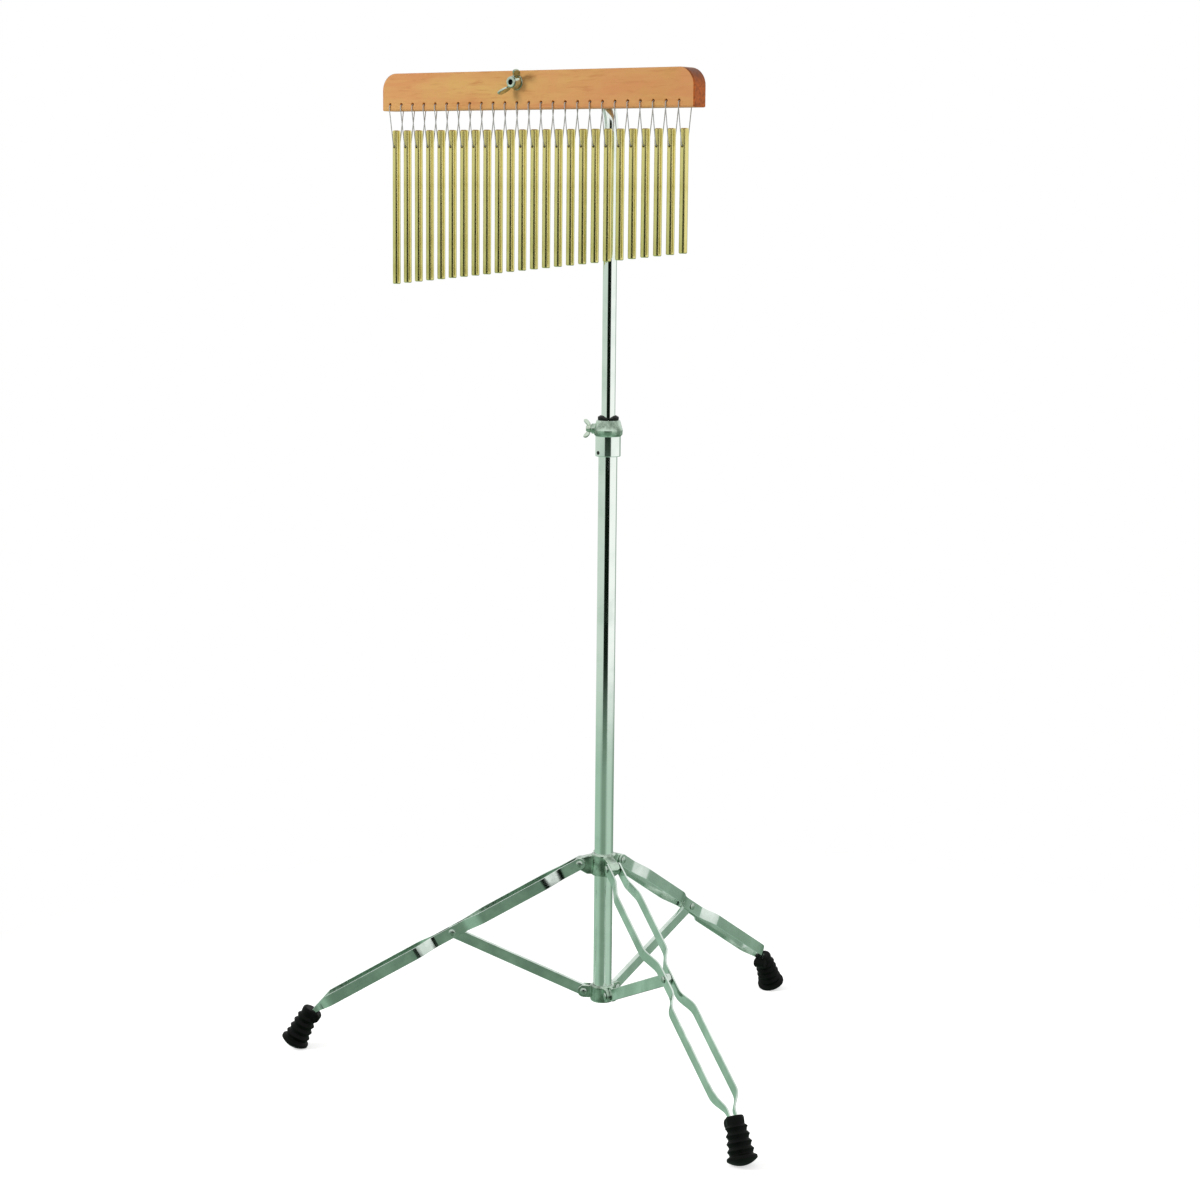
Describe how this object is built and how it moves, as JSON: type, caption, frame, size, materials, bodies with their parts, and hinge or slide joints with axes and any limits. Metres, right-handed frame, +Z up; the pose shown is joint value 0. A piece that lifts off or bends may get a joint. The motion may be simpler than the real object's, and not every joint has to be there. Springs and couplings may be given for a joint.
{
  "type": "bar chimes with stand",
  "caption": "Row of graduated hanging metal chimes laced under a wooden bar, bolted to the side arm of a height-adjustable tube on a folding tripod stand.",
  "frame": {"origin": "on the floor under the middle of the bounding box; the stand tube stands 93.4 mm towards -Y of it", "axes": "+Z up; the row of chimes runs along X with its longest chime at -X; the front of the bar, with the wing nut, faces -Y"},
  "size_m": [0.6834, 0.597, 1.1728],
  "materials": {
    "chime_gold": "gold anodised, polished",
    "bar_wood": "satin lacquered hardwood with fine straight grain",
    "cord_nylon": "thin pale nylon cord",
    "foot_rubber": "matt black rubber",
    "black_plastic": "matt black nylon",
    "cast_chrome": "chrome plated zinc casting",
    "screw_chrome": "chrome plated steel",
    "rivet_steel": "plated steel rivet",
    "leg_chrome": "chrome plated steel strip",
    "tube_chrome": "bright chrome plated steel tube"
  },
  "bodies": {
    "stand": {"lower_tube": "tube_chrome", "base_bracket": "cast_chrome", "height_clamp": "cast_chrome", "brace_right_rivet": "rivet_steel", "brace_back_rivet": "rivet_steel", "brace_left_rivet": "rivet_steel"},
    "collar": {"leg_collar": "cast_chrome", "leg_right_top_rivet": "rivet_steel", "leg_back_top_rivet": "rivet_steel", "leg_left_top_rivet": "rivet_steel"},
    "leg_right": {"leg_right_strip_a": "leg_chrome", "leg_right_strip_b": "leg_chrome", "leg_right_mid_rivet": "rivet_steel", "foot_right": "foot_rubber"},
    "brace_right": {"brace_right": "leg_chrome"},
    "leg_back": {"leg_back_strip_a": "leg_chrome", "leg_back_strip_b": "leg_chrome", "leg_back_mid_rivet": "rivet_steel", "foot_back": "foot_rubber"},
    "brace_back": {"brace_back": "leg_chrome"},
    "leg_left": {"leg_left_strip_a": "leg_chrome", "leg_left_strip_b": "leg_chrome", "leg_left_mid_rivet": "rivet_steel", "foot_left": "foot_rubber"},
    "brace_left": {"brace_left": "leg_chrome"},
    "bushing": {"height_bushing": "black_plastic"},
    "column": {"upper_tube": "tube_chrome", "arm_saddle": "black_plastic", "bar_bolt": "screw_chrome", "bar_washer": "screw_chrome"},
    "bar": {"wood_bar": "bar_wood", "hanging_cord": "cord_nylon"},
    "wing_nut": {"bar_wing_nut": "screw_chrome"},
    "clamp_screw": {"clamp_wing_bolt": "screw_chrome"},
    "collar_screw": {"collar_wing_bolt": "screw_chrome"},
    "chime_01": {"chime_01": "chime_gold"},
    "chime_02": {"chime_02": "chime_gold"},
    "chime_03": {"chime_03": "chime_gold"},
    "chime_04": {"chime_04": "chime_gold"},
    "chime_05": {"chime_05": "chime_gold"},
    "chime_06": {"chime_06": "chime_gold"},
    "chime_07": {"chime_07": "chime_gold"},
    "chime_08": {"chime_08": "chime_gold"},
    "chime_09": {"chime_09": "chime_gold"},
    "chime_10": {"chime_10": "chime_gold"},
    "chime_11": {"chime_11": "chime_gold"},
    "chime_12": {"chime_12": "chime_gold"},
    "chime_13": {"chime_13": "chime_gold"},
    "chime_14": {"chime_14": "chime_gold"},
    "chime_15": {"chime_15": "chime_gold"},
    "chime_16": {"chime_16": "chime_gold"},
    "chime_17": {"chime_17": "chime_gold"},
    "chime_18": {"chime_18": "chime_gold"},
    "chime_19": {"chime_19": "chime_gold"},
    "chime_20": {"chime_20": "chime_gold"},
    "chime_21": {"chime_21": "chime_gold"},
    "chime_22": {"chime_22": "chime_gold"},
    "chime_23": {"chime_23": "chime_gold"},
    "chime_24": {"chime_24": "chime_gold"},
    "chime_25": {"chime_25": "chime_gold"}
  },
  "joints": [
    {"name": "leg_fold", "type": "slide", "parent": "stand", "child": "collar", "axis": [0, 0, 1], "range_m": [0, 0.18987]},
    {"name": "height", "type": "slide", "parent": "bushing", "child": "column", "axis": [0, 0, 1], "range_m": [-0.12, 0.25]},
    {"name": "pan", "type": "hinge", "parent": "stand", "child": "bushing", "pos_m": [0, -0.09345, 0.773], "axis": [0, 0, 1], "continuous": true},
    {"name": "bar_tilt", "type": "hinge", "parent": "column", "child": "bar", "pos_m": [-0.111, -0.11525, 1.158], "axis": [0, 1, 0], "range_deg": [-10, 10]},
    {"name": "leg_right_hinge", "type": "hinge", "parent": "collar", "child": "leg_right", "pos_m": [0.02425, -0.10744, 0.24471], "axis": [0.5, 0.866, 0], "range_deg": [0, 51.31]},
    {"name": "leg_back_hinge", "type": "hinge", "parent": "collar", "child": "leg_back", "pos_m": [0, -0.06545, 0.24471], "axis": [-1, 0, 0], "range_deg": [0, 51.31]},
    {"name": "leg_left_hinge", "type": "hinge", "parent": "collar", "child": "leg_left", "pos_m": [-0.02425, -0.10744, 0.24471], "axis": [0.5, -0.866, 0], "range_deg": [0, 51.31]},
    {"name": "brace_right_hinge", "type": "hinge", "parent": "stand", "child": "brace_right", "pos_m": [0.01905, -0.10444, 0.088], "axis": [-0.5, -0.866, 0], "range_deg": [0, 57.38]},
    {"name": "brace_back_hinge", "type": "hinge", "parent": "stand", "child": "brace_back", "pos_m": [0, -0.07144, 0.088], "axis": [1, 0, 0], "range_deg": [0, 57.38]},
    {"name": "brace_left_hinge", "type": "hinge", "parent": "stand", "child": "brace_left", "pos_m": [-0.01905, -0.10444, 0.088], "axis": [-0.5, 0.866, 0], "range_deg": [0, 57.38]},
    {"name": "wing_nut_turn", "type": "hinge", "parent": "column", "child": "wing_nut", "pos_m": [-0.111, -0.12695, 1.158], "axis": [0, 1, 0], "continuous": true},
    {"name": "clamp_screw_turn", "type": "hinge", "parent": "stand", "child": "clamp_screw", "pos_m": [-0.01689, -0.10319, 0.7628], "axis": [-0.866, -0.5, 0], "continuous": true},
    {"name": "collar_screw_turn", "type": "hinge", "parent": "collar", "child": "collar_screw", "pos_m": [-0.01645, -0.08395, 0.24451], "axis": [-0.866, 0.5, 0], "continuous": true},
    {"name": "chime_01_swing", "type": "hinge", "parent": "bar", "child": "chime_01", "pos_m": [-0.3035, -0.11525, 1.0855], "axis": [0, 1, 0], "range_deg": [-2.5, 2.5]},
    {"name": "chime_02_swing", "type": "hinge", "parent": "bar", "child": "chime_02", "pos_m": [-0.286, -0.11525, 1.0855], "axis": [0, 1, 0], "range_deg": [-2.5, 2.5]},
    {"name": "chime_03_swing", "type": "hinge", "parent": "bar", "child": "chime_03", "pos_m": [-0.2685, -0.11525, 1.0855], "axis": [0, 1, 0], "range_deg": [-2.5, 2.5]},
    {"name": "chime_04_swing", "type": "hinge", "parent": "bar", "child": "chime_04", "pos_m": [-0.251, -0.11525, 1.0855], "axis": [0, 1, 0], "range_deg": [-2.5, 2.5]},
    {"name": "chime_05_swing", "type": "hinge", "parent": "bar", "child": "chime_05", "pos_m": [-0.2335, -0.11525, 1.0855], "axis": [0, 1, 0], "range_deg": [-2.5, 2.5]},
    {"name": "chime_06_swing", "type": "hinge", "parent": "bar", "child": "chime_06", "pos_m": [-0.216, -0.11525, 1.0855], "axis": [0, 1, 0], "range_deg": [-2.5, 2.5]},
    {"name": "chime_07_swing", "type": "hinge", "parent": "bar", "child": "chime_07", "pos_m": [-0.1985, -0.11525, 1.0855], "axis": [0, 1, 0], "range_deg": [-2.5, 2.5]},
    {"name": "chime_08_swing", "type": "hinge", "parent": "bar", "child": "chime_08", "pos_m": [-0.181, -0.11525, 1.0855], "axis": [0, 1, 0], "range_deg": [-2.5, 2.5]},
    {"name": "chime_09_swing", "type": "hinge", "parent": "bar", "child": "chime_09", "pos_m": [-0.1635, -0.11525, 1.0855], "axis": [0, 1, 0], "range_deg": [-2.5, 2.5]},
    {"name": "chime_10_swing", "type": "hinge", "parent": "bar", "child": "chime_10", "pos_m": [-0.146, -0.11525, 1.0855], "axis": [0, 1, 0], "range_deg": [-2.5, 2.5]},
    {"name": "chime_11_swing", "type": "hinge", "parent": "bar", "child": "chime_11", "pos_m": [-0.1285, -0.11525, 1.0855], "axis": [0, 1, 0], "range_deg": [-2.5, 2.5]},
    {"name": "chime_12_swing", "type": "hinge", "parent": "bar", "child": "chime_12", "pos_m": [-0.111, -0.11525, 1.0855], "axis": [0, 1, 0], "range_deg": [-2.5, 2.5]},
    {"name": "chime_13_swing", "type": "hinge", "parent": "bar", "child": "chime_13", "pos_m": [-0.0935, -0.11525, 1.0855], "axis": [0, 1, 0], "range_deg": [-2.5, 2.5]},
    {"name": "chime_14_swing", "type": "hinge", "parent": "bar", "child": "chime_14", "pos_m": [-0.076, -0.11525, 1.0855], "axis": [0, 1, 0], "range_deg": [-2.5, 2.5]},
    {"name": "chime_15_swing", "type": "hinge", "parent": "bar", "child": "chime_15", "pos_m": [-0.0585, -0.11525, 1.0855], "axis": [0, 1, 0], "range_deg": [-2.5, 2.5]},
    {"name": "chime_16_swing", "type": "hinge", "parent": "bar", "child": "chime_16", "pos_m": [-0.041, -0.11525, 1.0855], "axis": [0, 1, 0], "range_deg": [-2.5, 2.5]},
    {"name": "chime_17_swing", "type": "hinge", "parent": "bar", "child": "chime_17", "pos_m": [-0.0235, -0.11525, 1.0855], "axis": [0, 1, 0], "range_deg": [-2.5, 2.5]},
    {"name": "chime_18_swing", "type": "hinge", "parent": "bar", "child": "chime_18", "pos_m": [-0.006, -0.11525, 1.0855], "axis": [0, 1, 0], "range_deg": [-2.5, 2.5]},
    {"name": "chime_19_swing", "type": "hinge", "parent": "bar", "child": "chime_19", "pos_m": [0.0115, -0.11525, 1.0855], "axis": [0, 1, 0], "range_deg": [-2.5, 2.5]},
    {"name": "chime_20_swing", "type": "hinge", "parent": "bar", "child": "chime_20", "pos_m": [0.029, -0.11525, 1.0855], "axis": [0, 1, 0], "range_deg": [-2.5, 2.5]},
    {"name": "chime_21_swing", "type": "hinge", "parent": "bar", "child": "chime_21", "pos_m": [0.0465, -0.11525, 1.0855], "axis": [0, 1, 0], "range_deg": [-2.5, 2.5]},
    {"name": "chime_22_swing", "type": "hinge", "parent": "bar", "child": "chime_22", "pos_m": [0.064, -0.11525, 1.0855], "axis": [0, 1, 0], "range_deg": [-2.5, 2.5]},
    {"name": "chime_23_swing", "type": "hinge", "parent": "bar", "child": "chime_23", "pos_m": [0.0815, -0.11525, 1.0855], "axis": [0, 1, 0], "range_deg": [-2.5, 2.5]},
    {"name": "chime_24_swing", "type": "hinge", "parent": "bar", "child": "chime_24", "pos_m": [0.099, -0.11525, 1.0855], "axis": [0, 1, 0], "range_deg": [-2.5, 2.5]},
    {"name": "chime_25_swing", "type": "hinge", "parent": "bar", "child": "chime_25", "pos_m": [0.1165, -0.11525, 1.0855], "axis": [0, 1, 0], "range_deg": [-2.5, 2.5]}
  ],
  "couplings": [
    {"joint": "leg_right_hinge", "follows": "leg_fold", "rad_per_m": 4.7156},
    {"joint": "leg_back_hinge", "follows": "leg_fold", "rad_per_m": 4.7156},
    {"joint": "leg_left_hinge", "follows": "leg_fold", "rad_per_m": 4.7156},
    {"joint": "brace_right_hinge", "follows": "leg_fold", "rad_per_m": 5.2736},
    {"joint": "brace_back_hinge", "follows": "leg_fold", "rad_per_m": 5.2736},
    {"joint": "brace_left_hinge", "follows": "leg_fold", "rad_per_m": 5.2736}
  ]
}
